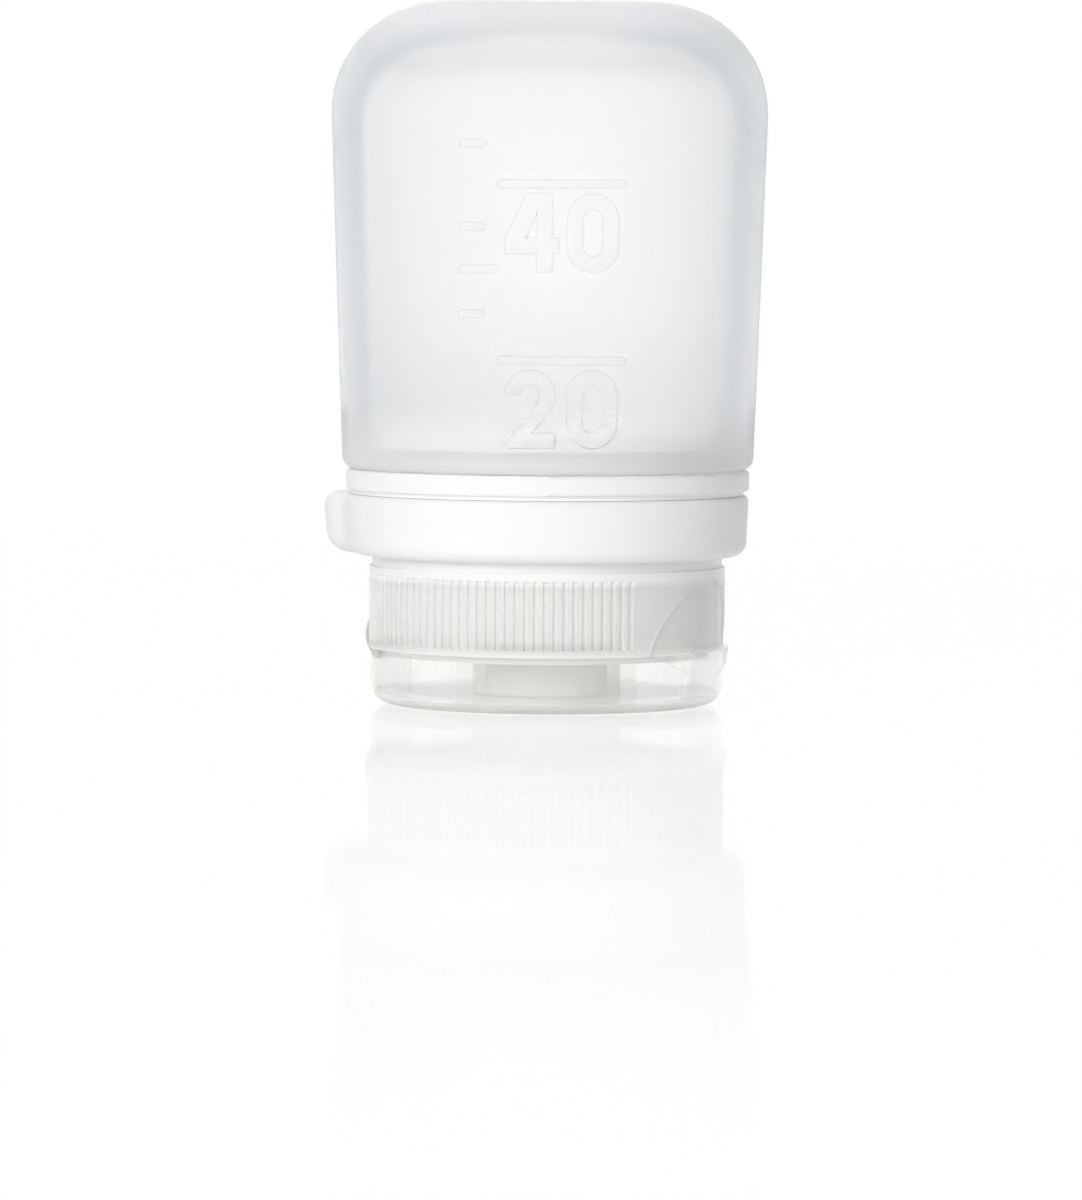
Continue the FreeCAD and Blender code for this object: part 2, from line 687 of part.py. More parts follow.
PIECES = [
    squeeze_body,
    neck_insert,
    neck_collar,
    neck_gasket,
    cap_base,
    slit_valve,
    valve_retainer,
    loop_ring,
    flip_lid,
    hinge_strap,
]
doc.recompute()
for thing in doc.Objects:
    if "Invalid" in thing.State or "Error" in thing.State:
        raise RuntimeError("%s did not build: %s" % (thing.Name, thing.State))
os.makedirs("parts", exist_ok=True)
for piece in PIECES:
    piece.Label = piece.Name
    shape = piece.Shape
    if shape.isNull() or not shape.isValid() or len(shape.Solids) != 1:
        raise RuntimeError("%s is not one sound solid" % piece.Name)
    shape.exportStep("parts/" + piece.Label + ".step")
    print("%-15s %9.1f mm3  %s" % (piece.Label, shape.Volume, shape.BoundBox))
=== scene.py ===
import bmesh
import bpy
import math
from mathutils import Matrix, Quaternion, Vector
from mathutils.geometry import tessellate_polygon


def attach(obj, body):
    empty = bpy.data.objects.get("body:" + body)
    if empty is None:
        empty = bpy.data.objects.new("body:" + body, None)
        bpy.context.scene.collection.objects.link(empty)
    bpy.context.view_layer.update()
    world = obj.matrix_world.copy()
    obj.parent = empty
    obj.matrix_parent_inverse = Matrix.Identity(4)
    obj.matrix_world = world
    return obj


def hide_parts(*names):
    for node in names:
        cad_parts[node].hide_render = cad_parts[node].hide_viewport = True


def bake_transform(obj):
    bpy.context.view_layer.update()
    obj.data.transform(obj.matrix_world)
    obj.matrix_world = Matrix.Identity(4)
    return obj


# Dressing of the squeeze bottle. Sizes are written in millimetres and turned to metres by MM.
MM = 0.001

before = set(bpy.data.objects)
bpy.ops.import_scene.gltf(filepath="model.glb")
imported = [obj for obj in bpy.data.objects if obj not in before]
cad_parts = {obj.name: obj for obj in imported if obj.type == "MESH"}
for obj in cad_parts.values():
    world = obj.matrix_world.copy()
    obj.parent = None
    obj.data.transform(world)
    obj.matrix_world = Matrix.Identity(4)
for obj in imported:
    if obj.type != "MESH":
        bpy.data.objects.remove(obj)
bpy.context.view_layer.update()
scene = bpy.context.scene
scene.view_settings.view_transform = "Standard"

# Light passes many walls on its way through the nested clear pieces
LIGHT_BOUNCES = 24
SURFACE_BOUNCES = 12
scene.cycles.max_bounces = LIGHT_BOUNCES
scene.cycles.transmission_bounces = LIGHT_BOUNCES
scene.cycles.glossy_bounces = SURFACE_BOUNCES
scene.cycles.diffuse_bounces = SURFACE_BOUNCES

FULL_TURN = 2 * math.pi
HALF_TURN = math.pi
QUARTER_TURN = math.pi / 2
# Where the cap faces when it is screwed home: its thumb tab, and the hinge opposite to it
CAP_TURN = math.radians(-24.6)

# Directions in a flat section or figure, in degrees
RIGHT = 0.0
UP = 90.0
LEFT = 180.0
DOWN = 270.0
ROUND = 360.0

# Edges that bend by more than this many degrees stay sharp
SHARP_EDGE = 40.0
BODY_SHARP_EDGE = 35.0
FILM_SHARP_EDGE = 50.0

UNIT_SQUARE = ((-1, -1), (1, -1), (1, 1), (-1, 1))


# Mesh helpers

def add_object(name, data):
    """Puts a mesh or other data block in the scene as an object."""
    thing = bpy.data.objects.new(name, data)
    scene.collection.objects.link(thing)
    return thing


def mesh_from(name, points, faces):
    """A mesh from points in millimetres."""
    mesh = bpy.data.meshes.new(name)
    mesh.from_pydata([Vector(point) * MM for point in points], [], faces)
    mesh.validate()
    return mesh


def tidy_normals(mesh, sharp_angle):
    """Turns all faces outwards, shades them smooth and keeps the edges sharper than an angle."""
    work = bmesh.new()
    work.from_mesh(mesh)
    bmesh.ops.recalc_face_normals(work, faces=work.faces)
    work.to_mesh(mesh)
    work.free()
    mesh.shade_smooth()
    mesh.set_sharp_from_angle(angle=math.radians(sharp_angle))
    mesh.update()


def rings_to_faces(ring_count, ring_size, closed):
    """Quads between rings of points; closed joins the last ring to the first one."""
    faces = []
    last = ring_count if closed else ring_count - 1
    for ring in range(last):
        lower = ring * ring_size
        upper = ((ring + 1) % ring_count) * ring_size
        for step in range(ring_size):
            following = (step + 1) % ring_size
            faces.append((lower + step, lower + following, upper + following, upper + step))
    return faces


def close_ring(points, faces, ring, ring_size, height):
    """Closes a ring of points by a fan of faces round a point on the axis."""
    middle = len(points)
    points.append((0.0, 0.0, height))
    for step in range(ring_size):
        faces.append((ring * ring_size + step, ring * ring_size + (step + 1) % ring_size, middle))


def arc(centre, radius, begin, stop, steps):
    """Points of an arc in a section plane, from one angle in degrees to another."""
    points = []
    for step in range(steps + 1):
        angle = math.radians(begin + (stop - begin) * step / steps)
        points.append((centre[0] + radius * math.cos(angle), centre[1] + radius * math.sin(angle)))
    return points


def turned_points(section, steps):
    """Rings of points: a section of radius and height pairs, turned about Z."""
    points = []
    for radius, height in section:
        for step in range(steps):
            angle = FULL_TURN * step / steps
            points.append((radius * math.cos(angle), radius * math.sin(angle), height))
    return points


def boolean(target, tool, operation):
    """Applies a boolean of a second object to the first one, and removes the second."""
    step = target.modifiers.new("boolean", "BOOLEAN")
    step.operation = operation
    step.solver = "MANIFOLD"
    step.material_mode = "TRANSFER"
    step.object = tool
    seen = bpy.context.evaluated_depsgraph_get()
    result = bpy.data.meshes.new_from_object(target.evaluated_get(seen))
    target.modifiers.clear()
    old = target.data
    result.name = old.name + "_cut"
    target.data = result
    bpy.data.meshes.remove(old)
    tool_mesh = tool.data
    bpy.data.objects.remove(tool)
    bpy.data.meshes.remove(tool_mesh)


# Shader helpers

WHOLE_SHARE = 1.0
NONE_TO_WHOLE = (0.0, WHOLE_SHARE)
WHOLE_TO_NONE = (WHOLE_SHARE, 0.0)


def opaque(colour):
    """A colour with its alpha."""
    return (*colour, WHOLE_SHARE)


def ranged(tree, value, limits, results, way="LINEAR"):
    """A number that goes from one result to another as a value goes from one limit to another."""
    change = tree.nodes.new("ShaderNodeMapRange")
    change.interpolation_type = way
    sockets = ("From Min", "From Max", "To Min", "To Max")
    for socket, number in zip(sockets, (*limits, *results)):
        change.inputs[socket].default_value = number
    tree.links.new(value, change.inputs["Value"])
    return change.outputs["Result"]


def combined(tree, operation, first, second):
    """One number from two others."""
    node = tree.nodes.new("ShaderNodeMath")
    node.operation = operation
    for socket, number in zip(node.inputs, (first, second)):
        tree.links.new(number, socket)
    return node.outputs["Value"]


def mixed(tree, factor, first, second):
    """Two shaders mixed by a factor."""
    node = tree.nodes.new("ShaderNodeMixShader")
    for socket, output in zip(node.inputs, (factor, first, second)):
        tree.links.new(output, socket)
    return node.outputs["Shader"]


# Parts of a moulded surface

CLOUD_SCALE = 60.0
CLOUD_DETAIL = 3.0
GRAIN_DETAIL = 4.0
GRAIN_ROUGHNESS = 0.6
# How rough each zone of the body is, as a share of its frosted outside
SHEEN_SHARES = {"outside": 1.0, "inside": 0.1, "marks": 0.2, "mark_edges": 0.21}


def noise(tree, place, scale, detail):
    """Noise in the piece's own place."""
    texture = tree.nodes.new("ShaderNodeTexNoise")
    texture.inputs["Scale"].default_value = scale
    texture.inputs["Detail"].default_value = detail
    tree.links.new(place, texture.inputs["Vector"])
    return texture


def clouded(tree, place, low, high):
    """A colour that drifts between two others."""
    clouds = noise(tree, place, CLOUD_SCALE, CLOUD_DETAIL)
    tint = tree.nodes.new("ShaderNodeMix")
    tint.data_type = "RGBA"
    tint.inputs["A"].default_value = opaque(low)
    tint.inputs["B"].default_value = opaque(high)
    tree.links.new(clouds.outputs["Fac"], tint.inputs["Factor"])
    return tint.outputs["Result"]


def grained(tree, place, shader, rough, grain, bump):
    """A fine relief on the shader, and a roughness with the same grain."""
    fine = noise(tree, place, grain, GRAIN_DETAIL)
    fine.inputs["Roughness"].default_value = GRAIN_ROUGHNESS
    strength, distance = bump
    relief = tree.nodes.new("ShaderNodeBump")
    relief.inputs["Strength"].default_value = strength
    relief.inputs["Distance"].default_value = distance * MM
    tree.links.new(fine.outputs["Fac"], relief.inputs["Height"])
    tree.links.new(relief.outputs["Normal"], shader.inputs["Normal"])
    return ranged(tree, fine.outputs["Fac"], NONE_TO_WHOLE, rough)


def by_zone(tree, shader, roughness, colour):
    """Roughness by the faces' shares, a coat on the front of all but the inside, and painted shade that
    darkens the colour on the marks' sides.
    """
    sheen = tree.nodes.new("ShaderNodeAttribute")
    sheen.attribute_name = "sheen_share"
    smoother = combined(tree, "MULTIPLY", roughness, sheen.outputs["Fac"])
    limits = (SHEEN_SHARES["inside"], SHEEN_SHARES["marks"])
    coat = ranged(tree, sheen.outputs["Fac"], limits, NONE_TO_WHOLE)
    faced = tree.nodes.new("ShaderNodeNewGeometry")
    front = tree.nodes.new("ShaderNodeMath")
    front.operation = "SUBTRACT"
    front.inputs[0].default_value = WHOLE_SHARE
    tree.links.new(faced.outputs["Backfacing"], front.inputs[1])
    tree.links.new(front.outputs["Value"], coat.node.inputs["To Max"])
    tree.links.new(coat, shader.inputs["Coat Weight"])
    # Painted shade: the colour is darker on the marks' sides, for dark outlines round the marks
    edge = tree.nodes.new("ShaderNodeAttribute")
    edge.attribute_name = "edge_share"
    edge_shade_colour = tree.nodes.new("ShaderNodeVectorMath")
    edge_shade_colour.operation = "SCALE"
    tree.links.new(colour, edge_shade_colour.inputs[0])
    tree.links.new(edge.outputs["Fac"], edge_shade_colour.inputs["Scale"])
    return smoother, edge_shade_colour.outputs["Vector"]


def by_height(tree, height, heights, shares):
    """A number that goes smoothly from one share to another between two heights."""
    return ranged(tree, height, [limit * MM for limit in heights], shares, "SMOOTHSTEP")


def painted_shade_below(tree, height, colour, heights, tone):
    """A colour that a tone darkens below two heights, as painted shade."""
    darker = tree.nodes.new("ShaderNodeMix")
    darker.data_type = "RGBA"
    darker.blend_type = "MULTIPLY"
    darker.inputs["B"].default_value = opaque(tone)
    tree.links.new(by_height(tree, height, heights, WHOLE_TO_NONE), darker.inputs["Factor"])
    tree.links.new(colour, darker.inputs["A"])
    return darker.outputs["Result"]


def absorbing(tree, tone, density):
    """An inside that takes up light on its way."""
    inside = tree.nodes.new("ShaderNodeVolumeAbsorption")
    inside.inputs["Color"].default_value = opaque(tone)
    inside.inputs["Density"].default_value = density
    tree.links.new(inside.outputs["Volume"], tree.nodes["Material Output"].inputs["Volume"])


def surface(name, low, high, rough, grain, bump, sockets, absorb=None, zoned=False, hazes=None, painted_shade=None):
    """A moulded surface: clouded colour, grained roughness, a fine relief, an absorbing, hazy inside, and
    painted shade where given.
    """
    material = bpy.data.materials.new(name)
    material.use_nodes = True
    tree = material.node_tree
    shader = tree.nodes["Principled BSDF"]
    place = tree.nodes.new("ShaderNodeTexCoord").outputs["Object"]
    colour = clouded(tree, place, low, high)
    roughness = grained(tree, place, shader, rough, grain, bump)
    if zoned:
        roughness, colour = by_zone(tree, shader, roughness, colour)
    tree.links.new(roughness, shader.inputs["Roughness"])
    for socket, number in sockets.items():
        shader.inputs[socket].default_value = number
    split = tree.nodes.new("ShaderNodeSeparateXYZ")
    tree.links.new(place, split.inputs["Vector"])
    height = split.outputs["Z"]
    for socket, (first, *others) in (hazes or {}).items():
        haze = by_height(tree, height, *first)
        for other in others:
            haze = combined(tree, "MULTIPLY", haze, by_height(tree, height, *other))
        tree.links.new(haze, shader.inputs[socket])
    if painted_shade:
        colour = painted_shade_below(tree, height, colour, *painted_shade)
    tree.links.new(colour, shader.inputs["Base Color"])
    if absorb:
        absorbing(tree, *absorb)
    return material


# Frosted silicone of the body. A haze has pairs of heights, each with a socket's shares below and above.

silicone = surface(
    "silicone_frosted",
    low=(0.992, 0.98, 0.966),
    high=(1.0, 0.99, 0.976),
    rough=(0.7, 0.86),
    grain=2600.0,
    bump=(0.25, 0.05),
    sockets={"IOR": 1.04, "Coat Roughness": 0.35, "Coat IOR": 1.3},
    absorb=((0.57, 0.63, 0.69), 38.0),
    zoned=True,
    hazes={"Transmission Weight": [((24.0, 31.0), (0.42, 1.0)), ((62.5, 69.0), (0.9, 0.44))]},
    # Painted shade: the body's colour darkens towards its mouth, below 44 mm
    painted_shade=((25.0, 44.0), (0.935, 0.935, 0.94)),
)


# Soft rubber of the seal and the valve

SEAL_INDEX = 1.2
seal_rubber = surface(
    "seal_rubber",
    low=(0.94, 0.94, 0.93),
    high=(0.97, 0.97, 0.96),
    rough=(0.45, 0.6),
    grain=2200.0,
    bump=(0.2, 0.04),
    sockets={"Transmission Weight": 0.4, "IOR": SEAL_INDEX},
)


# White of the loop ring and of the collar

WHITE_LOW = (0.91, 0.91, 0.905)
WHITE_HIGH = (0.94, 0.94, 0.935)
PLASTIC_INDEX = 1.35
white_band = surface(
    "white_band",
    low=WHITE_LOW,
    high=WHITE_HIGH,
    rough=(0.34, 0.46),
    grain=2400.0,
    bump=(0.12, 0.04),
    sockets={"IOR": SEAL_INDEX},
)
white_plastic = surface(
    "white_plastic",
    low=WHITE_LOW,
    high=WHITE_HIGH,
    rough=(0.3, 0.42),
    grain=2000.0,
    bump=(0.1, 0.04),
    sockets={"IOR": PLASTIC_INDEX},
)


# Frosted plastic of the cap and its hinge, milkier at the nozzle and at the skirt's upper edge

CAP_DECK_HEIGHTS = (5.0, 6.5)
frosted_plastic = surface(
    "frosted_plastic",
    low=(0.97, 0.965, 0.95),
    high=(1.0, 0.995, 0.98),
    rough=(0.16, 0.26),
    grain=1800.0,
    bump=(0.12, 0.04),
    sockets={"IOR": PLASTIC_INDEX},
    absorb=((0.62, 0.58, 0.48), 10.0),
    hazes={
        "Transmission Weight": [(CAP_DECK_HEIGHTS, (0.1, 0.05))],
        "Alpha": [(CAP_DECK_HEIGHTS, (1.0, 0.58)), ((12.2, 13.2), (1.0, 1.55))],
    },
)


# Milky plastic of the neck and the valve's retainer

milky_plastic = surface(
    "milky_plastic",
    low=(0.97, 0.97, 0.96),
    high=(1.0, 1.0, 0.99),
    rough=(0.3, 0.42),
    grain=1800.0,
    bump=(0.1, 0.04),
    sockets={"Transmission Weight": 0.1, "Alpha": 0.85, "IOR": PLASTIC_INDEX},
)


# Clear plastic of the lid, hazier at its floor

LID_FLOOR_HEIGHTS = (0.6, 1.6)
clear_plastic = surface(
    "clear_plastic",
    low=(0.985, 0.98, 0.97),
    high=(1.0, 0.995, 0.985),
    rough=(0.06, 0.12),
    grain=700.0,
    bump=(0.05, 0.04),
    sockets={"IOR": 1.22},
    absorb=((0.62, 0.6, 0.5), 12.0),
    hazes={
        "Transmission Weight": [(LID_FLOOR_HEIGHTS, (0.55, 0.9))],
        "Alpha": [(LID_FLOOR_HEIGHTS, (0.9, 0.35))],
    },
)

CAD_FINISHES = {
    "neck_insert": milky_plastic,
    "neck_collar": white_plastic,
    "cap_base": frosted_plastic,
    "valve_retainer": milky_plastic,
    "flip_lid": clear_plastic,
}
for node, finish in CAD_FINISHES.items():
    cad_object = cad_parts[node]
    cad_object.data.materials.clear()
    cad_object.data.materials.append(finish)


# Squeeze body: one shell with its mouth hole, round at the mouth and a soft square at the closed end

BODY_FLOOR = 23.43
BODY_TOP = 69.6
MOUTH_RISE = 24.7
MOUTH_HALF = 20.55
MOUTH_FLAT = 0.6
MOUTH_ROUND = 1.4
MOUTH_HOLE = 15.35
WAIST = 58.2
END_HALF = 21.5
END_CORNER = 15.0
END_ROUND = 10.8
WALL = 3.1
END_THICK = 3.1
INNER_END_ROUND = 8.0
INNER_CROWN = 0.9
INNER_CROWN_POWER = 4
INNER_ROUNDING = 3.0
SHOULDER_TOP = 25.57
SHOULDER_ROUND = 0.05
CORNER_STEPS = 22
FLAT_STEPS = 10
SIDE_STEPS = 40
FLOOR_ROUND_STEPS = 8
END_ROUND_STEPS = 16
OUTER_END_STEPS = 6
INNER_END_STEPS = 12
# Signs of the corners' centres, from the first quarter round
CORNER_SIGNS = ((1, 1), (-1, 1), (-1, -1), (1, -1))


def outer_plan(height):
    """Half width and corner radius of the body's outside at a height below the end's round."""
    share = min(max((height - MOUTH_RISE) / (WAIST - MOUTH_RISE), 0.0), 1.0)
    half = MOUTH_HALF + (END_HALF - MOUTH_HALF) * share
    mouth_corner = MOUTH_HALF - MOUTH_FLAT
    return half, mouth_corner + (END_CORNER - mouth_corner) * share


def plan_points(half, corner):
    """Points round a square with round corners."""
    flat = half - corner
    points = []
    for quarter, (x_sign, y_sign) in enumerate(CORNER_SIGNS):
        turn = quarter * QUARTER_TURN
        for step in range(CORNER_STEPS + 1):
            angle = turn + QUARTER_TURN * step / CORNER_STEPS
            x = x_sign * flat + corner * math.cos(angle)
            y = y_sign * flat + corner * math.sin(angle)
            points.append((x, y))
        along = turn + HALF_TURN
        end = points[-1]
        for step in range(1, FLAT_STEPS):
            way = 2 * flat * step / FLAT_STEPS
            points.append((end[0] + way * math.cos(along), end[1] + way * math.sin(along)))
    return points


def ring_of(half, corner, height):
    """One ring of the shell."""
    return [(x, y, height) for x, y in plan_points(half, corner)]


def hole_ring(height):
    """The ring of the shell at the mouth's hole, with its points in step with the others."""
    points = []
    for x, y in plan_points(MOUTH_HALF, MOUTH_HALF - MOUTH_FLAT):
        reach = math.hypot(x, y)
        points.append((x * MOUTH_HOLE / reach, y * MOUTH_HOLE / reach, height))
    return points


def form_rings(inset, rounding, floor, floor_round, top, crown, end_round, end_steps):
    """Rings of the outside or the inside, from the mouth's edge to the middle of the closed end."""

    def plan(height):
        """Half width and corner radius at a height, with the inside's corners rounder than the outside's."""
        half, corner = outer_plan(height)
        return half, min(corner + rounding, half - MOUTH_FLAT)

    rings = []
    side_floor = floor + floor_round
    half, corner = plan(side_floor)
    for step in range(FLOOR_ROUND_STEPS):
        angle = QUARTER_TURN * step / FLOOR_ROUND_STEPS
        draw = inset + floor_round * (1 - math.sin(angle))
        rings.append(ring_of(half - draw, corner - draw, floor + floor_round * (1 - math.cos(angle))))
    side_top = top - crown - end_round
    for step in range(SIDE_STEPS):
        height = side_floor + (side_top - side_floor) * step / SIDE_STEPS
        half, corner = plan(height)
        rings.append(ring_of(half - inset, corner - inset, height))
    half, corner = plan(side_top)
    for step in range(END_ROUND_STEPS + 1):
        angle = QUARTER_TURN * step / END_ROUND_STEPS
        draw = inset + end_round * (1 - math.cos(angle))
        rings.append(ring_of(half - draw, corner - draw, side_top + end_round * math.sin(angle)))
    end_half = half - inset - end_round
    end_corner = corner - inset - end_round
    for step in range(1, end_steps):
        share = 1 - step / end_steps
        rings.append(ring_of(end_half * share, end_corner * share, top - crown * share ** INNER_CROWN_POWER))
    return rings


def silicone_shell():
    """The body's mesh: outside, mouth and inside as one closed skin, with a stand-in finish for each zone."""
    inner_top = BODY_TOP - END_THICK
    outside = form_rings(
        inset=0.0, rounding=0.0, floor=BODY_FLOOR, floor_round=MOUTH_ROUND,
        top=BODY_TOP, crown=0.0, end_round=END_ROUND, end_steps=OUTER_END_STEPS)
    inside = form_rings(
        inset=WALL, rounding=INNER_ROUNDING, floor=SHOULDER_TOP, floor_round=SHOULDER_ROUND,
        top=inner_top, crown=INNER_CROWN, end_round=INNER_END_ROUND, end_steps=INNER_END_STEPS)
    rings = outside[::-1] + [hole_ring(BODY_FLOOR), hole_ring(SHOULDER_TOP)] + inside
    ring_size = len(rings[0])
    points = [point for ring in rings for point in ring]
    faces = rings_to_faces(len(rings), ring_size, False)
    close_ring(points, faces, 0, ring_size, BODY_TOP)
    close_ring(points, faces, len(rings) - 1, ring_size, inner_top)
    mesh = mesh_from("silicone_shell", points, faces)
    zones = list(SHEEN_SHARES)
    for zone in zones:
        mesh.materials.append(bpy.data.materials.new(zone))
    inner_from = len(outside) * ring_size
    for face in mesh.polygons:
        if min(face.vertices) >= inner_from:
            face.material_index = zones.index("inside")
    return mesh


# Level marks in polished relief on the front: plain numbers under their lines, and ticks beside them

MARK_RISE = 0.3
MARK_SINK = 0.3
MARK_SLOPE = 0.3
# Painted shade: the marks' sides take this share of the body's colour
MARK_SIDE_PAINTED_SHADE = 0.92
MARK_ZONES = ("marks", "mark_edges")
# A mark's faces with this many corners count as its sides
SIDE_CORNERS = 4
MARK_CUT = 0.6
WELD = 0.001
MARK_WELD = 0.02
LINE_WIDTH = 0.6
LINE_ENDS = 8
DIGIT_HEIGHT = 7.4
DIGIT_WIDTH = 4.8
DIGIT_STROKE = 1.35
DIGIT_STEP = 6.0
DIGIT_GAP = 1.0
DIGIT_ARC = 16
TWO_ARC_FROM = 170.0
TWO_ARC_TO = -40.0
# Parts of a four: the shelf as a share of the height, and the others as shares of the stroke
FOUR_SHELF_SHARE = 0.24
FOUR_POST_SHARE = 1.3
FOUR_BACK_SHARE = 0.75
FOUR_HOLE_SHARE = 1.3
FOUR_ARM_SHARE = 0.2
NUMBER_ACROSS = 1.2
NUMBERS = [("20", 34.6), ("40", 51.6)]
NUMBER_LINE = 12.4
TICKS = [(39.1, 2.4), (43.4, 3.6), (47.5, 2.4), (55.5, 2.4)]
TICK_FROM = -8.6
ACROSS_AXIS = 0
HEIGHT_AXIS = 2


def zero_loops():
    """Outside and inside of a nought with straight sides."""
    loops = []
    for inset in (0.0, DIGIT_STROKE):
        radius = DIGIT_WIDTH / 2 - inset
        low = DIGIT_WIDTH / 2
        high = DIGIT_HEIGHT - DIGIT_WIDTH / 2
        loop = arc((DIGIT_WIDTH / 2, high), radius, RIGHT, LEFT, DIGIT_ARC)
        loop += arc((DIGIT_WIDTH / 2, low), radius, LEFT, RIGHT + ROUND, DIGIT_ARC)
        loops.append(loop)
    return loops


def two_loops():
    """Outside of a two: an arc, its sloping leg and a flat foot."""
    outer = DIGIT_WIDTH / 2
    inner = outer - DIGIT_STROKE
    centre = (outer, DIGIT_HEIGHT - outer)
    lean = math.radians(TWO_ARC_TO)
    fall = Vector((math.sin(lean), -math.cos(lean)))
    outer_end = Vector(centre) + outer * Vector((math.cos(lean), math.sin(lean)))
    inner_end = Vector(centre) + inner * Vector((math.cos(lean), math.sin(lean)))
    foot = outer_end + fall * (DIGIT_STROKE - outer_end.y) / fall.y
    heel = inner_end + fall * (0.0 - inner_end.x) / fall.x
    loop = arc(centre, outer, TWO_ARC_FROM, TWO_ARC_TO, DIGIT_ARC)
    loop += [tuple(foot), (DIGIT_WIDTH, DIGIT_STROKE), (DIGIT_WIDTH, 0.0), (0.0, 0.0), tuple(heel)]
    loop += arc(centre, inner, TWO_ARC_TO, TWO_ARC_FROM, DIGIT_ARC)
    return [loop]


def four_loops():
    """Outside and inside of a four with a straight slope."""
    post = DIGIT_WIDTH - FOUR_POST_SHARE * DIGIT_STROKE
    back = post - FOUR_BACK_SHARE * DIGIT_STROKE
    shelf = FOUR_SHELF_SHARE * DIGIT_HEIGHT
    top = shelf + DIGIT_STROKE
    edge = post + DIGIT_STROKE
    arm = DIGIT_WIDTH + FOUR_ARM_SHARE * DIGIT_STROKE
    slope = (DIGIT_HEIGHT - top) / back
    hole_left = FOUR_HOLE_SHARE * DIGIT_STROKE
    hole_top = top + (post - hole_left) * slope
    outside = [(edge, 0.0), (edge, shelf), (arm, shelf), (arm, top), (edge, top), (edge, DIGIT_HEIGHT),
               (back, DIGIT_HEIGHT), (0.0, top), (0.0, shelf), (post, shelf), (post, 0.0)]
    return [outside, [(post, top), (hole_left, top), (post, hole_top)]]


DIGITS = {"0": zero_loops, "2": two_loops, "4": four_loops}


def front_reach(across, height):
    """How far the body's outside stands towards the viewer at a place on its front."""
    half, corner = outer_plan(height)
    over = abs(across) - (half - corner)
    if over <= 0:
        return half
    return half - corner + math.sqrt(corner ** 2 - over ** 2)


def flat_faces(loops, across, floor):
    """Triangles that fill a figure's loops, moved to their place on the front."""
    corners = [(across + x, floor + z) for loop in loops for x, z in loop]
    filled = tessellate_polygon([[Vector((x, z, 0.0)) for x, z in loop] for loop in loops])
    return [[corners[index] for index in triangle] for triangle in filled]


def flat_number(digits, middle, floor):
    """Faces of a plain number."""
    faces = []
    start = middle - (DIGIT_STEP * (len(digits) - 1) + DIGIT_WIDTH) / 2
    for place, digit in enumerate(digits):
        faces += flat_faces(DIGITS[digit](), start + DIGIT_STEP * place, floor)
    return faces


def flat_line(begin, height, length):
    """A level line with round ends."""
    radius = LINE_WIDTH / 2
    loop = arc((length - radius, 0.0), radius, DOWN - ROUND, UP, LINE_ENDS)
    loop += arc((radius, 0.0), radius, UP, DOWN, LINE_ENDS)
    return flat_faces([loop], begin, height)


def sliced(work, axis, low, high):
    """Cuts flat faces into strips across an axis, so that they can follow a curve."""
    normal = Vector((0.0, 0.0, 0.0))
    normal[axis] = 1.0
    for index in range(1, int((high - low) / MARK_CUT) + 1):
        everything = work.verts[:] + work.edges[:] + work.faces[:]
        bmesh.ops.bisect_plane(work, geom=everything, dist=WELD, plane_co=normal * (low + index * MARK_CUT),
                               plane_no=normal)


def flat_marks():
    """All marks as flat faces, cut fine enough to follow the front's curve."""
    flats = []
    for digits, height in NUMBERS:
        flats += flat_line(NUMBER_ACROSS - NUMBER_LINE / 2, height, NUMBER_LINE)
        flats += flat_number(digits, NUMBER_ACROSS, height - DIGIT_GAP - DIGIT_HEIGHT)
    for height, length in TICKS:
        flats += flat_line(TICK_FROM, height, length)
    work = bmesh.new()
    for corners in flats:
        work.faces.new([work.verts.new((x, 0.0, z)) for x, z in corners])
    bmesh.ops.remove_doubles(work, verts=work.verts, dist=WELD)
    for axis in (ACROSS_AXIS, HEIGHT_AXIS):
        places = [v.co[axis] for v in work.verts]
        sliced(work, axis, min(places), max(places))
    bmesh.ops.remove_doubles(work, verts=work.verts, dist=MARK_WELD)
    bmesh.ops.triangulate(work, faces=work.faces)
    bmesh.ops.dissolve_degenerate(work, edges=work.edges, dist=MARK_WELD)
    bmesh.ops.recalc_face_normals(work, faces=work.faces)
    work.verts.index_update()
    return work


def rim_edges(work):
    """The edges of flat faces that have a face on one side only."""
    return [edge for edge in work.edges if len(edge.link_faces) == 1]


def outward_slopes(work):
    """For each point of flat faces, the way out over their rim, and nothing for a point inside."""
    spread = [Vector((0.0, 0.0, 0.0)) for v in work.verts]
    for edge in rim_edges(work):
        first, second = edge.verts
        away = (second.co - first.co).cross(Vector((0.0, 1.0, 0.0))).normalized()
        if away.dot(edge.link_faces[0].calc_center_median() - first.co) > 0:
            away = -away
        for v in edge.verts:
            spread[v.index] += away
    return [way.normalized() if way.length > 0 else way for way in spread]


def level_marks():
    """The marks as closed blocks that follow the front's curve, cross its surface and have sloping sides."""
    work = flat_marks()
    count = len(work.verts)
    points = []
    spread = outward_slopes(work)
    for lift, slope in ((MARK_RISE, 0.0), (-MARK_SINK, MARK_SLOPE)):
        for v in work.verts:
            place = v.co + spread[v.index] * slope
            points.append((place.x, -front_reach(place.x, place.z) - lift, place.z))
    faces = []
    for face in work.faces:
        corners = [v.index for v in face.verts]
        faces.append(tuple(corners))
        faces.append(tuple(index + count for index in reversed(corners)))
    for edge in rim_edges(work):
        first, second = (v.index for v in edge.verts)
        faces.append((first, second, second + count, first + count))
    work.free()
    mesh = mesh_from("level_marks", points, faces)
    for zone in MARK_ZONES:
        mesh.materials.append(bpy.data.materials[zone])
    for face in mesh.polygons:
        zone = "mark_edges" if len(face.vertices) == SIDE_CORNERS else "marks"
        face.material_index = MARK_ZONES.index(zone)
    return mesh


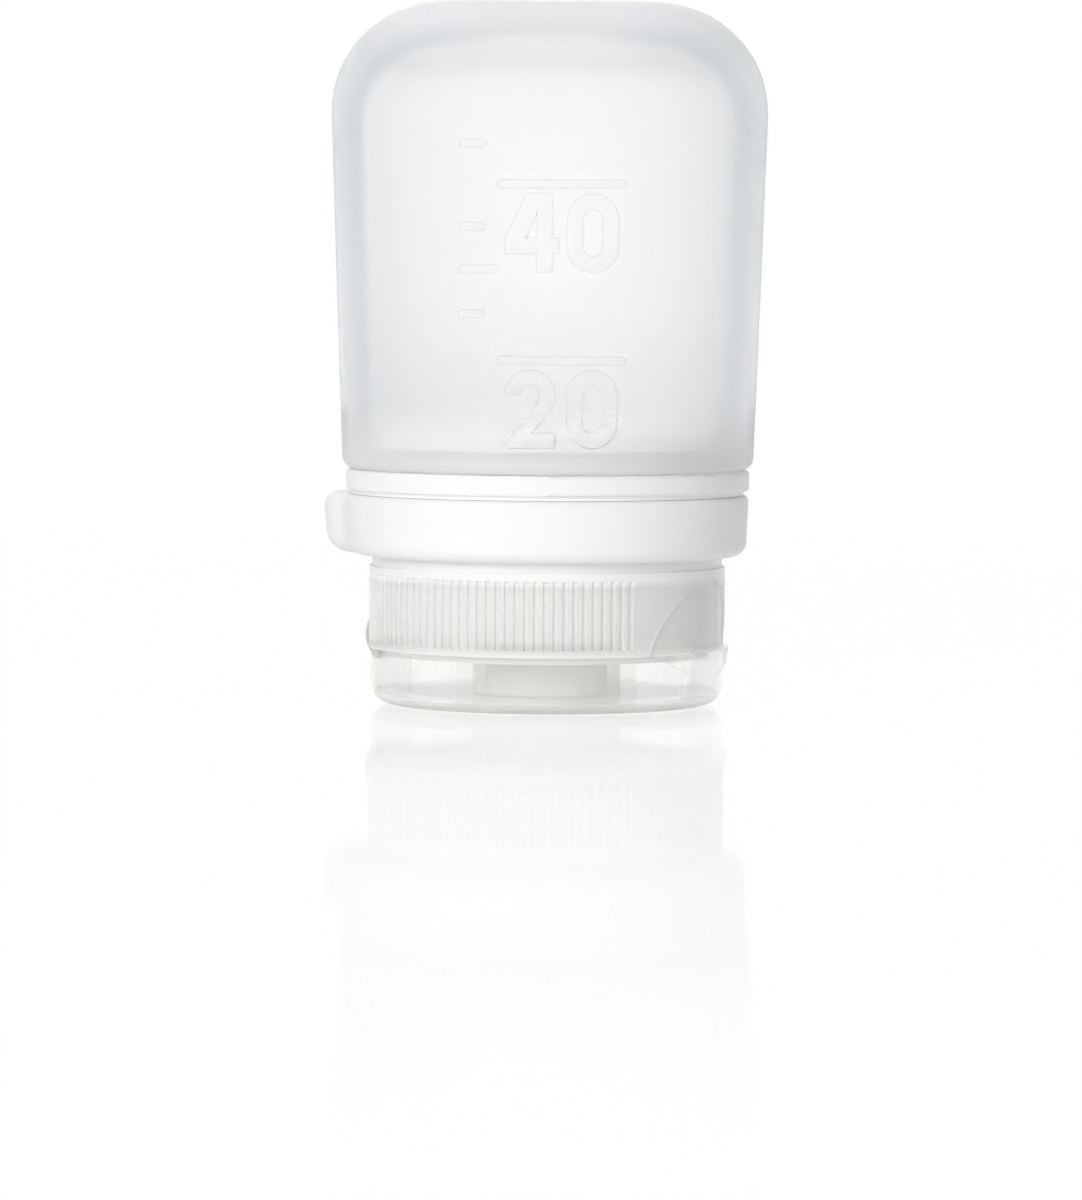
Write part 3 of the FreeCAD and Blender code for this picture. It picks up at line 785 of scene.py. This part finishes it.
def keep_sheen(mesh):
    """Writes each zone's share of roughness, and the painted shade of the marks' sides, on its faces, and
    gives all of them one material.
    """
    zones = list(SHEEN_SHARES)
    for name in ("sheen_share", "edge_share"):
        mesh.attributes.new(name, "FLOAT", "FACE")
    sheens = mesh.attributes["sheen_share"].data
    edges = mesh.attributes["edge_share"].data
    for face in mesh.polygons:
        zone = zones[face.material_index]
        sheens[face.index].value = SHEEN_SHARES[zone]
        edges[face.index].value = MARK_SIDE_PAINTED_SHADE if zone == "mark_edges" else WHOLE_SHARE
        face.material_index = 0
    mesh.materials.clear()
    mesh.materials.append(silicone)
    for zone in zones:
        bpy.data.materials.remove(bpy.data.materials[zone])


body = add_object("silicone_shell", silicone_shell())
tidy_normals(body.data, SHARP_EDGE)
marks = add_object("level_marks", level_marks())
tidy_normals(marks.data, SHARP_EDGE)
boolean(body, marks, "UNION")
keep_sheen(body.data)
tidy_normals(body.data, BODY_SHARP_EDGE)
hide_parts("squeeze_body")
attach(body, "bottle")


# Loop ring: a soft band with a finger lobe, over the hinge at rest

RING_FLOOR = 14.85
RING_TOP = 20.96
RING_RADIUS = 20.1
RING_BORE = 17.58
RING_DRAFT = 0.18
LOBE_CENTRE = 16.0
LOBE_RADIUS = 8.0
LOBE_BLEND = 8.0
RING_LOW_ROUND = 1.5
RING_TOP_ROUND = 0.6
LOBE_LOW_ROUND = 2.6
LOBE_TOP_ROUND = 1.8
RING_BORE_ROUND = 0.3
RING_STEPS = 240
LOW_ROUND_STEPS = 10
TOP_ROUND_STEPS = 8
BORE_ROUND_STEPS = 4
BEAD_REACH = 0.43
BEAD_FLOOR = 17.1
BEAD_TOP = 17.9
LOBE_ANGLE = CAP_TURN + HALF_TURN

blend_far = RING_RADIUS + LOBE_BLEND
lobe_far = LOBE_RADIUS + LOBE_BLEND
lobe_swing = math.acos((blend_far ** 2 + LOBE_CENTRE ** 2 - lobe_far ** 2) / (2 * LOBE_CENTRE * blend_far))
blend_spot = Vector((blend_far * math.cos(lobe_swing), blend_far * math.sin(lobe_swing)))
lobe_spot = Vector((LOBE_CENTRE, 0.0))
touch = lobe_spot + (blend_spot - lobe_spot) * LOBE_RADIUS / lobe_far
lobe_end = math.atan2(touch.y, touch.x)


def ring_reach(angle):
    """The ring's outer radius at an angle from the middle of its lobe."""
    away = abs(angle)
    if away >= lobe_swing:
        return RING_RADIUS
    if away > lobe_end:
        across = blend_far * math.sin(lobe_swing - away)
        return blend_far * math.cos(lobe_swing - away) - math.sqrt(LOBE_BLEND ** 2 - across ** 2)
    across = LOBE_CENTRE * math.sin(away)
    return LOBE_CENTRE * math.cos(away) + math.sqrt(LOBE_RADIUS ** 2 - across ** 2)


def ring_section(reach, lobe_share):
    """The closed section of the ring where its outside stands at a reach."""
    low_round = RING_LOW_ROUND + (LOBE_LOW_ROUND - RING_LOW_ROUND) * lobe_share
    top_round = RING_TOP_ROUND + (LOBE_TOP_ROUND - RING_TOP_ROUND) * lobe_share
    low_centre = (reach - RING_DRAFT - low_round, RING_FLOOR + low_round)
    top_centre = (reach - top_round, RING_TOP - top_round)
    edge = RING_BORE + RING_BORE_ROUND
    bead = RING_BORE - BEAD_REACH
    section = arc(low_centre, low_round, DOWN - ROUND, RIGHT, LOW_ROUND_STEPS)
    section += arc(top_centre, top_round, RIGHT, UP, TOP_ROUND_STEPS)
    section += arc((edge, RING_TOP - RING_BORE_ROUND), RING_BORE_ROUND, UP, LEFT, BORE_ROUND_STEPS)
    section += [(RING_BORE, BEAD_TOP), (bead, BEAD_TOP), (bead, BEAD_FLOOR), (RING_BORE, BEAD_FLOOR)]
    section += arc((edge, RING_FLOOR + RING_BORE_ROUND), RING_BORE_ROUND, LEFT, DOWN, BORE_ROUND_STEPS)
    return section


def loop_band():
    """The ring's mesh, one section for each step round Z."""
    points = []
    lobe_height = LOBE_CENTRE + LOBE_RADIUS - RING_RADIUS
    for step in range(RING_STEPS):
        angle = FULL_TURN * step / RING_STEPS - HALF_TURN
        turn = LOBE_ANGLE + angle
        reach = ring_reach(angle)
        for radius, height in ring_section(reach, (reach - RING_RADIUS) / lobe_height):
            points.append((radius * math.cos(turn), radius * math.sin(turn), height))
    section_size = len(points) // RING_STEPS
    return mesh_from("loop_band", points, rings_to_faces(RING_STEPS, section_size, True))


band = add_object("loop_band", loop_band())
tidy_normals(band.data, SHARP_EDGE)
band.data.materials.append(white_band)
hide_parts("loop_ring")
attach(band, "loop")


# Hinge film: a thin bowed strap from the skirt to the lid

STRAP_ROUND = 3.309
STRAP_CENTRE = (-14.891, 6.6)
STRAP_THICK = 0.35
STRAP_HALF_WIDTH = 4.5
STRAP_LOW = 4.05
STRAP_HIGH = 9.15
STRAP_STEPS = 28
STRAP_ACROSS = 10
STRAP_EDGE_ROUND = 0.5
STRAP_EDGE_SHARE = 0.35


def cap_place(x, y, z):
    """A place given with the thumb tab at +X, turned to where the cap faces."""
    cosine = math.cos(CAP_TURN)
    sine = math.sin(CAP_TURN)
    return (x * cosine - y * sine, x * sine + y * cosine, z)


def strap_depth(share):
    """Half the strap's thickness at a share of its half width, less at its long edges."""
    inset = STRAP_HALF_WIDTH * (1 - abs(share))
    thin = min(1.0, inset / STRAP_EDGE_ROUND)
    return STRAP_THICK / 2 * (STRAP_EDGE_SHARE + (1 - STRAP_EDGE_SHARE) * math.sqrt(thin))


def hinge_film():
    """The strap's mesh: a bowed plate whose long edges thin out."""
    half_swing = math.asin((STRAP_HIGH - STRAP_LOW) / 2 / STRAP_ROUND)
    points = []
    rows = []
    for side in (1, -1):
        for step in range(STRAP_STEPS + 1):
            angle = HALF_TURN + half_swing * (1 - 2 * step / STRAP_STEPS)
            row = []
            for across in range(STRAP_ACROSS + 1):
                share = 2 * across / STRAP_ACROSS - 1
                radius = STRAP_ROUND - STRAP_THICK / 2 + side * strap_depth(share)
                row.append(len(points))
                points.append(cap_place(STRAP_CENTRE[0] + radius * math.cos(angle), share * STRAP_HALF_WIDTH,
                                        STRAP_CENTRE[1] - radius * math.sin(angle)))
            rows.append(row)
    faces = []
    sheet = STRAP_STEPS + 1
    for base in (0, sheet):
        for step in range(STRAP_STEPS):
            for across in range(STRAP_ACROSS):
                first = rows[base + step]
                second = rows[base + step + 1]
                faces.append((first[across], first[across + 1], second[across + 1], second[across]))
    for step in range(STRAP_STEPS):
        for across in (0, STRAP_ACROSS):
            faces.append((rows[step][across], rows[step + 1][across],
                          rows[sheet + step + 1][across], rows[sheet + step][across]))
    for step in (0, STRAP_STEPS):
        for across in range(STRAP_ACROSS):
            faces.append((rows[step][across], rows[step][across + 1],
                          rows[sheet + step][across + 1], rows[sheet + step][across]))
    return mesh_from("hinge_film", points, faces)


film = add_object("hinge_film", hinge_film())
tidy_normals(film.data, FILM_SHARP_EDGE)
film.data.materials.append(frosted_plastic)
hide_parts("hinge_strap")
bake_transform(film)


# Seal between the neck's end and the cap's deck

GASKET_OUTER = 16.15
GASKET_BORE = 13.45
GASKET_FLOOR = 7.03
GASKET_TOP = 8.17
GASKET_ROUND = 0.3
GASKET_ROUND_STEPS = 5
GASKET_STEPS = 120


def seal_washer():
    """The seal's mesh: a rectangle with round corners, turned about Z."""
    outer = GASKET_OUTER - GASKET_ROUND
    bore = GASKET_BORE + GASKET_ROUND
    floor = GASKET_FLOOR + GASKET_ROUND
    top = GASKET_TOP - GASKET_ROUND
    section = arc((outer, floor), GASKET_ROUND, DOWN - ROUND, RIGHT, GASKET_ROUND_STEPS)
    section += arc((outer, top), GASKET_ROUND, RIGHT, UP, GASKET_ROUND_STEPS)
    section += arc((bore, top), GASKET_ROUND, UP, LEFT, GASKET_ROUND_STEPS)
    section += arc((bore, floor), GASKET_ROUND, LEFT, DOWN, GASKET_ROUND_STEPS)
    points = turned_points(section, GASKET_STEPS)
    return mesh_from("seal_washer", points, rings_to_faces(len(section), GASKET_STEPS, True))


gasket = add_object("seal_washer", seal_washer())
tidy_normals(gasket.data, SHARP_EDGE)
gasket.data.materials.append(seal_rubber)
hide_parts("neck_gasket")
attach(gasket, "seal")


# Slit valve: a thin dome with two crossed slits, held by its flange

VALVE_SEAT = 3.23
VALVE_OUTER = 6.1
VALVE_FLANGE_TOP = 4.17
VALVE_DOME_RADIUS = 4.6
VALVE_RISE = 1.08
VALVE_SKIN = 0.5
VALVE_EDGE = 0.2
VALVE_EDGE_STEPS = 4
SLIT_LENGTH = 5.0
SLIT_WIDTH = 0.14
VALVE_STEPS = 96
DOME_STEPS = 12


def dome_lift(rise, share):
    """Height of a dome over its rim at a share of its radius."""
    return rise * (math.cos(HALF_TURN * share) + 1) / 2


def valve_skin():
    """The valve's mesh: dome and flange as one turned skin with a point at each pole."""
    shares = [step / DOME_STEPS for step in range(1, DOME_STEPS + 1)]
    rim_lift = VALVE_FLANGE_TOP - VALVE_SEAT
    edge = VALVE_OUTER - VALVE_EDGE
    section = []
    for share in shares:
        section.append((VALVE_DOME_RADIUS * share, VALVE_SEAT + dome_lift(VALVE_RISE, share)))
    section += arc((edge, VALVE_SEAT + VALVE_EDGE), VALVE_EDGE, DOWN - ROUND, RIGHT, VALVE_EDGE_STEPS)
    section += arc((edge, VALVE_FLANGE_TOP - VALVE_EDGE), VALVE_EDGE, RIGHT, UP, VALVE_EDGE_STEPS)
    for share in reversed(shares):
        lift = rim_lift + dome_lift(VALVE_RISE + VALVE_SKIN - rim_lift, share)
        section.append((VALVE_DOME_RADIUS * share, VALVE_SEAT + lift))
    points = turned_points(section, VALVE_STEPS)
    faces = rings_to_faces(len(section), VALVE_STEPS, False)
    close_ring(points, faces, 0, VALVE_STEPS, VALVE_SEAT + VALVE_RISE)
    close_ring(points, faces, len(section) - 1, VALVE_STEPS, VALVE_SEAT + VALVE_RISE + VALVE_SKIN)
    return mesh_from("valve_skin", points, faces)


def slit_blade(turn):
    """A thin upright plate that cuts one slit."""
    points = []
    heights = (VALVE_SEAT - VALVE_RISE, VALVE_SEAT + 2 * VALVE_RISE + VALVE_SKIN)
    for height in heights:
        for x, y in UNIT_SQUARE:
            along = x * SLIT_LENGTH / 2
            aside = y * SLIT_WIDTH / 2
            points.append((along * math.cos(turn) - aside * math.sin(turn),
                           along * math.sin(turn) + aside * math.cos(turn), height))
    corners = list(range(len(points)))
    ring_size = len(UNIT_SQUARE)
    faces = rings_to_faces(len(heights), ring_size, False)
    faces += [tuple(corners[:ring_size]), tuple(reversed(corners[ring_size:]))]
    return mesh_from("slit_blade", points, faces)


valve = add_object("valve_skin", valve_skin())
tidy_normals(valve.data, SHARP_EDGE)
for turn in (CAP_TURN, CAP_TURN + QUARTER_TURN):
    blade = add_object("slit_blade", slit_blade(turn))
    tidy_normals(blade.data, SHARP_EDGE)
    boolean(valve, blade, "DIFFERENCE")
tidy_normals(valve.data, SHARP_EDGE)
valve.data.materials.clear()
valve.data.materials.append(seal_rubber)
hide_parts("slit_valve")
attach(valve, "cap")


# Floor, a white gloss table. It, the lights and the camera are placed in metres.

WHITE = (1.0, 1.0, 1.0, 1.0)
WHITE_STRENGTH = 1.0
FLOOR_REACH = 0.6
FLOOR_CLEAR = 0.0001
FLOOR_COLOUR = (0.95, 0.95, 0.95, 1.0)
FLOOR_ROUGHNESS = 0.05
FLOOR_WHITE_SHARE = 0.97
FADE_FROM = 0.2
FADE_TO = 0.45
SHINE_FADE_TO = 0.3
SHINE_SHARES = (0.36, 0.02)


def floor_material():
    """White gloss that mirrors less, and then fades into the white surroundings, away from the object."""
    material = bpy.data.materials.new("white_table")
    material.use_nodes = True
    tree = material.node_tree
    tree.nodes.clear()
    place = tree.nodes.new("ShaderNodeTexCoord")
    length = tree.nodes.new("ShaderNodeVectorMath")
    length.operation = "LENGTH"
    tree.links.new(place.outputs["Object"], length.inputs[0])
    away = length.outputs["Value"]
    matt = tree.nodes.new("ShaderNodeBsdfDiffuse")
    matt.inputs["Color"].default_value = FLOOR_COLOUR
    gloss = tree.nodes.new("ShaderNodeBsdfGlossy")
    gloss.inputs["Color"].default_value = WHITE
    gloss.inputs["Roughness"].default_value = FLOOR_ROUGHNESS
    path = tree.nodes.new("ShaderNodeLightPath")
    seen = tree.nodes.new("ShaderNodeMath")
    seen.operation = "MULTIPLY_ADD"
    seen.use_clamp = True
    camera_ray, white_share, other_ray = seen.inputs
    tree.links.new(path.outputs["Is Camera Ray"], camera_ray)
    white_share.default_value = FLOOR_WHITE_SHARE
    others = combined(tree, "MAXIMUM", path.outputs["Is Glossy Ray"], path.outputs["Is Transmission Ray"])
    tree.links.new(others, other_ray)
    white = tree.nodes.new("ShaderNodeEmission")
    white.inputs["Color"].default_value = WHITE
    white.inputs["Strength"].default_value = WHITE_STRENGTH
    table = mixed(tree, seen.outputs["Value"], matt.outputs["BSDF"], white.outputs["Emission"])
    shine = ranged(tree, away, (0.0, SHINE_FADE_TO), SHINE_SHARES)
    lit = mixed(tree, shine, table, gloss.outputs["BSDF"])
    fade = ranged(tree, away, (FADE_FROM, FADE_TO), NONE_TO_WHOLE, "SMOOTHSTEP")
    clear = tree.nodes.new("ShaderNodeBsdfTransparent")
    out = tree.nodes.new("ShaderNodeOutputMaterial")
    tree.links.new(mixed(tree, fade, lit, clear.outputs["BSDF"]), out.inputs["Surface"])
    return material


floor_mesh = bpy.data.meshes.new("floor")
floor_corners = [(x * FLOOR_REACH, y * FLOOR_REACH, -FLOOR_CLEAR) for x, y in UNIT_SQUARE]
floor_mesh.from_pydata(floor_corners, [], [tuple(range(len(UNIT_SQUARE)))])
floor = add_object("floor", floor_mesh)
floor_mesh.materials.append(floor_material())


# White surroundings and two soft lamps

ROOM_COLOUR = (0.97, 0.985, 1.0, 1.0)
ROOM_LIGHT = 0.35
LAMP_AIM = (0.0, 0.0, 0.03)
KEY_PLACE = (-0.27, -0.66, 0.26)
KEY_SIDE = 0.4
KEY_POWER = 3.05
TOP_PLACE = (0.0, 0.1, 0.8)
TOP_SIDE = 0.7
TOP_POWER = 2.7


def white_room():
    """White surroundings to look at, and a plain level of light from them."""
    world = bpy.data.worlds.new("white_room")
    scene.world = world
    world.use_nodes = True
    tree = world.node_tree
    tree.nodes.clear()
    path = tree.nodes.new("ShaderNodeLightPath")
    seen = combined(tree, "MAXIMUM", path.outputs["Is Camera Ray"], path.outputs["Is Glossy Ray"])
    through = combined(tree, "MAXIMUM", seen, path.outputs["Is Transmission Ray"])
    levels = []
    for colour, strength in ((ROOM_COLOUR, ROOM_LIGHT), (WHITE, WHITE_STRENGTH)):
        level = tree.nodes.new("ShaderNodeBackground")
        level.inputs["Color"].default_value = colour
        level.inputs["Strength"].default_value = strength
        levels.append(level.outputs["Background"])
    out = tree.nodes.new("ShaderNodeOutputWorld")
    tree.links.new(mixed(tree, through, *levels), out.inputs["Surface"])


def turned_to(place, aim):
    """The turn that looks from a place at a point."""
    return (Vector(aim) - Vector(place)).to_track_quat("-Z", "Y")


def softbox(name, place, side, power):
    """A square studio light that looks at the object."""
    lamp = bpy.data.lights.new(name, "AREA")
    lamp.size = side
    lamp.energy = power
    thing = add_object(name, lamp)
    thing.location = place
    thing.visible_glossy = False
    thing.rotation_euler = turned_to(place, LAMP_AIM).to_euler()


white_room()
softbox("key", KEY_PLACE, KEY_SIDE, KEY_POWER)
softbox("top", TOP_PLACE, TOP_SIDE, TOP_POWER)


# Camera, at the photograph's viewing angle

CAMERA_PLACE = (-0.0006, -0.59, 0.0442)
CAMERA_AIM = (-0.0006, 0.0, 0.0103)
CAMERA_ROLL = math.radians(0.33)
CAMERA_LENS = 177.0
SENSOR_WIDTH = 36.0
CLIP_START = 0.01

camera_data = bpy.data.cameras.new("camera")
camera_data.lens = CAMERA_LENS
camera_data.sensor_width = SENSOR_WIDTH
camera_data.clip_start = CLIP_START
camera = add_object("camera", camera_data)
camera.location = CAMERA_PLACE
roll = Quaternion((0, 0, 1), CAMERA_ROLL)
camera.rotation_euler = (turned_to(CAMERA_PLACE, CAMERA_AIM) @ roll).to_euler()
scene.camera = camera
